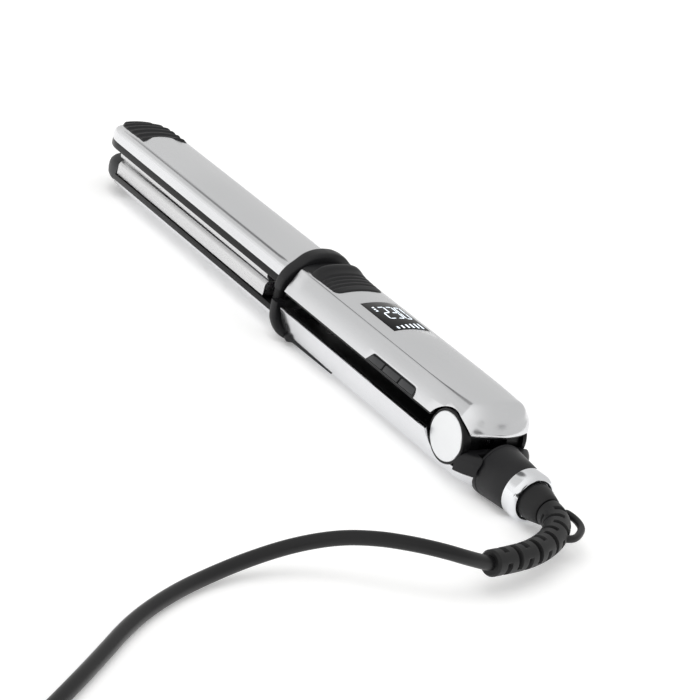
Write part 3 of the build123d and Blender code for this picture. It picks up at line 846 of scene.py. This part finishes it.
SEGMENTS = {"a": (0, 1, 1, 1), "b": (1, 1, 1, 0.5), "c": (1, 0.5, 1, 0), "d": (0, 0, 1, 0),
            "e": (0, 0.5, 0, 0), "f": (0, 1, 0, 0.5), "g": (0, 0.5, 1, 0.5)}
DIGITS = {"0": "abcdef", "2": "abged", "3": "abgcd"}
CROWN_DROP = CREST - CREASE_Z
CROWN_RADIUS = (CREASE_HALF ** 2 + CROWN_DROP ** 2) / (2 * CROWN_DROP)
MARK_PROUD = 0.1
DIGIT_FROM, DIGIT_LEFT, DIGIT_HEIGHT, DIGIT_WIDTH, DIGIT_GAP, STROKE = 63.2, 2.4, 9.6, 2.7, 1.15, 0.5
BAR_FROM, BAR_LEFT, BAR_PITCH, BAR_WIDTH = 54.8, 4.3, 2.3, 0.75


def on_crown(x, y, proud):
    return upper(x, y, CREST + proud - (CROWN_RADIUS - math.sqrt(CROWN_RADIUS ** 2 - y * y)))


def flat_mark(work, corners):
    """A thin raised mark on the crown from corners given as (x, y)."""
    low = [work.verts.new(on_crown(x, y, MARK_PROUD - 0.05)) for x, y in corners]
    high = [work.verts.new(on_crown(x, y, MARK_PROUD)) for x, y in corners]
    work.faces.new(high)
    work.faces.new(low[::-1])
    for i in range(len(corners)):
        j = (i + 1) % len(corners)
        work.faces.new((low[i], low[j], high[j], high[i]))


def stroke(a, b, width):
    """Corners of a segment with pointed ends, from a to b."""
    a, b = Vector(a), Vector(b)
    along = (b - a).normalized()
    side = Vector((-along.y, along.x)) * width / 2
    tip = along * width / 2
    a, b = a + tip * 0.6, b - tip * 0.6
    return [tuple(p) for p in (a, a + tip + side, b - tip + side, b, b - tip - side, a + tip - side)]


def add_display():
    """Three seven-segment figures that read towards the tip, six level bars and small generic marks."""
    work = bmesh.new()
    for place, figure in enumerate("230"):
        left = DIGIT_LEFT - place * (DIGIT_WIDTH + DIGIT_GAP)
        for name in DIGITS[figure]:
            across0, up0, across1, up1 = SEGMENTS[name]
            start = (DIGIT_FROM + up0 * DIGIT_HEIGHT, left - across0 * DIGIT_WIDTH)
            end = (DIGIT_FROM + up1 * DIGIT_HEIGHT, left - across1 * DIGIT_WIDTH)
            flat_mark(work, stroke(start, end, STROKE))
    for i in range(6):
        y = BAR_LEFT - i * BAR_PITCH
        far = 56.5 + i * 0.55
        flat_mark(work, [(BAR_FROM, y), (BAR_FROM, y - BAR_WIDTH), (far, y - BAR_WIDTH), (far, y)])
    for i in range(3):
        x = 73.4 - i * 1.5
        flat_mark(work, [(x, 4.6), (x, 3.7), (x - 0.8, 3.7), (x - 0.8, 4.6)])
    mesh = bpy.data.meshes.new("digits")
    bmesh.ops.recalc_face_normals(work, faces=work.faces)
    work.to_mesh(mesh)
    work.free()
    new_object("display_digits", mesh, "digits", "upper_arm")


def add_buttons():
    """The three buttons, with their ends trimmed to the slanted ends of the panel."""
    for name in ("power", "plus", "minus"):
        obj = refine("button_" + name, "button", "button_" + name + "_body", BUTTON_EDGE)
        cut(obj, prism_y("button_room", rounded(BUTTON_OUTLINE), PANEL_BACK, OUTSIDE, upper), "INTERSECT")
        finish_shell(obj, BUTTON_TRIM)


RIM_WIRE = 0.17


def add_button_rim():
    """A thin raised line round the three buttons."""
    slope = (UPPER_HANDLE[0] - UPPER_HANDLE[2]) / (UPPER_HANDLE[3] - UPPER_HANDLE[1])
    outline = rounded(RIM_OUTLINE, 5)
    path = [upper(x, UPPER_HANDLE[0] - slope * (z - UPPER_HANDLE[1]) + 0.05, z) for x, z in outline]
    line = spline("rim", path, RIM_WIRE, cyclic=True)
    line.data.resolution_u = 4
    obj = new_object("button_rim", mesh_from_line(line), "button", "upper_arm")
    smooth(obj, 60)


# ---------------------------------------------------------------- scene

WORLD_LEVEL = 0.72
WORLD_COLOUR = (1.0, 0.998, 0.99, 1)
# Cards in the white surroundings: direction, inner and outer edge in degrees, shade.
CARDS = [((0.0, 1.0, 0.1), 20, 120, 1.5), ((0.72, 0.03, 0.69), 5, 13, 0.2),
         ((-0.95, 0.05, 0.19), 6, 13, 0.15), ((-0.80, -0.56, 0.14), 3, 7, 0.2),
         ((0.62, 0.52, 0.60), 8, 26, 0.72)]
FLOOR_HALF, FLOOR_DROP = 6.0, 0.0002     # metres
KEY_PLACE, KEY_SIZE, KEY_ENERGY = (-0.3, 0.6, 1.7), 1.2, 7
VIEW_FROM = 38.65         # degrees from behind the hinge towards the button side
VIEW_HEIGHT = 21.77       # degrees above the horizontal
VIEW_ROLL = 14.70         # degrees
VIEW_DISTANCE = 849.1 * MM
VIEW_TARGET = at(38.2, 37.5, 16.1)
FOCAL_LENGTH = 121.4


def add_camera():
    turn, rise, roll = (math.radians(a) for a in (VIEW_FROM, VIEW_HEIGHT, VIEW_ROLL))
    towards = Vector((-math.cos(rise) * math.cos(turn), math.cos(rise) * math.sin(turn), math.sin(rise)))
    right = (-towards).cross(Vector((0, 0, 1))).normalized()
    up = right.cross(-towards)
    right, up = (right * math.cos(roll) + up * math.sin(roll), up * math.cos(roll) - right * math.sin(roll))
    data = bpy.data.cameras.new("camera")
    data.lens = FOCAL_LENGTH
    data.sensor_width = 36.0
    data.clip_start, data.clip_end = 0.05, 30.0
    camera = bpy.data.objects.new("camera", data)
    camera.matrix_world = Matrix.Translation(VIEW_TARGET + towards * VIEW_DISTANCE) @ Matrix(
        (right, up, towards)).transposed().to_4x4()
    bpy.context.collection.objects.link(camera)
    bpy.context.scene.camera = camera


def add_floor():
    mesh = bpy.data.meshes.new("floor")
    corners = [(x * FLOOR_HALF, y * FLOOR_HALF, 0) for x, y in ((-1, -1), (1, -1), (1, 1), (-1, 1))]
    mesh.from_pydata(corners, [], [(0, 1, 2, 3)])
    obj = bpy.data.objects.new("floor", mesh)
    obj.location.z = -FLOOR_DROP
    mesh.materials.append(material("floor", (0.95, 0.95, 0.95), 0.9, Emission_Color=(1, 1, 1, 1),
                                   Emission_Strength=0.2))
    bpy.context.collection.objects.link(obj)


def add_world():
    """White studio, brighter on the button side, with grey cards that give the silver its dark lines."""
    world = bpy.data.worlds.new("studio")
    bpy.context.scene.world = world
    world.use_nodes = True
    nodes, links = world.node_tree.nodes, world.node_tree.links
    place = nodes.new("ShaderNodeTexCoord")

    def card(direction, inner, outer, shade, before):
        dot = nodes.new("ShaderNodeVectorMath")
        dot.operation = "DOT_PRODUCT"
        dot.inputs[1].default_value = Vector(direction).normalized()
        links.new(place.outputs["Generated"], dot.inputs[0])
        fade = nodes.new("ShaderNodeMapRange")
        fade.interpolation_type = "SMOOTHSTEP"
        fade.inputs["From Min"].default_value = math.cos(math.radians(outer))
        fade.inputs["From Max"].default_value = math.cos(math.radians(inner))
        fade.inputs["To Min"].default_value, fade.inputs["To Max"].default_value = 1.0, shade
        links.new(dot.outputs["Value"], fade.inputs["Value"])
        product = nodes.new("ShaderNodeMath")
        product.operation = "MULTIPLY"
        product.inputs[1].default_value = before if isinstance(before, float) else 1.0
        links.new(fade.outputs["Result"], product.inputs[0])
        if not isinstance(before, float):
            links.new(before, product.inputs[1])
        return product.outputs["Value"]

    level = WORLD_LEVEL
    for direction, inner, outer, shade in CARDS:
        level = card(direction, inner, outer, shade, level)
    links.new(level, nodes["Background"].inputs["Strength"])
    nodes["Background"].inputs["Color"].default_value = WORLD_COLOUR


def add_light(name, place, size, energy):
    data = bpy.data.lights.new(name, "AREA")
    data.size = size
    data.energy = energy
    obj = bpy.data.objects.new(name, data)
    obj.location = place
    obj.rotation_euler = (Vector((0, 0, 0)) - Vector(place)).to_track_quat("-Z", "Y").to_euler()
    obj.visible_glossy = False
    bpy.context.collection.objects.link(obj)


def add_studio():
    add_camera()
    add_floor()
    add_world()
    add_light("key", KEY_PLACE, KEY_SIZE, KEY_ENERGY)
    bpy.context.scene.view_settings.view_transform = "Standard"


KEPT_NODES = {
    "liner": ("display_module", "hinge_yoke", "hinge_knuckle"),
    "board": ("control_board", "power_board"),
    "black": ("button_switches", "upper_plate_carrier", "lower_plate_carrier", "swivel_core"),
    "ceramic": ("upper_heater", "lower_heater"),
    "rubber": ("upper_cushions", "lower_cushions"),
    "steel": ("upper_screws", "hinge_pin", "opening_spring"),
    "brass": ("plug_pins",),
}


def dress_kept_nodes():
    """Give the CAD nodes that stay as they are their materials."""
    for look, kept in KEPT_NODES.items():
        for node in kept:
            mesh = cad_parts[node].data
            mesh.materials.clear()
            mesh.materials.append(MATERIALS[look])


def main():
    make_materials()
    dress_kept_nodes()
    upper_handle()
    upper_front()
    lower_handle()
    lower_front()
    for node, look, width in (("upper_front_liner", "liner", 0.25), ("upper_handle_liner", "liner", 0.25),
                              ("display_lens", "glass", 0.12), ("button_bezel", "liner", 0.15),
                              ("upper_bumpers", "rubber", 0.2)):
        refine(node, look, "upper_arm", width)
    for node, look, width in (("lower_front_liner", "liner", 0.25), ("lower_handle_liner", "liner", 0.2),
                              ("lower_bumpers", "rubber", 0.2), ("swivel_neck", "black", 0.5),
                              ("hinge_ring_left", "liner", 0.2), ("hinge_ring_right", "liner", 0.2),
                              ("hinge_cap_left", "cap", 0.5), ("hinge_cap_right", "cap", 0.4)):
        refine(node, look, "lower_arm", width)
    refine("upper_plate", "plate", "upper_plate_body", 0.3)
    refine("lower_plate", "plate", "lower_plate_body", 0.3)
    add_buttons()
    refine("plug_body", "rubber", "cord_side", 1.2)
    refine("cord_tie", "black", "cord_side", 0.4)
    add_saddles()
    add_thumb_pad()
    add_finger_pads()
    add_tip_pad()
    add_tip_cover()
    add_display()
    add_button_rim()
    add_swivel()
    add_relief()
    add_loop()
    add_cord()
    add_studio()


main()
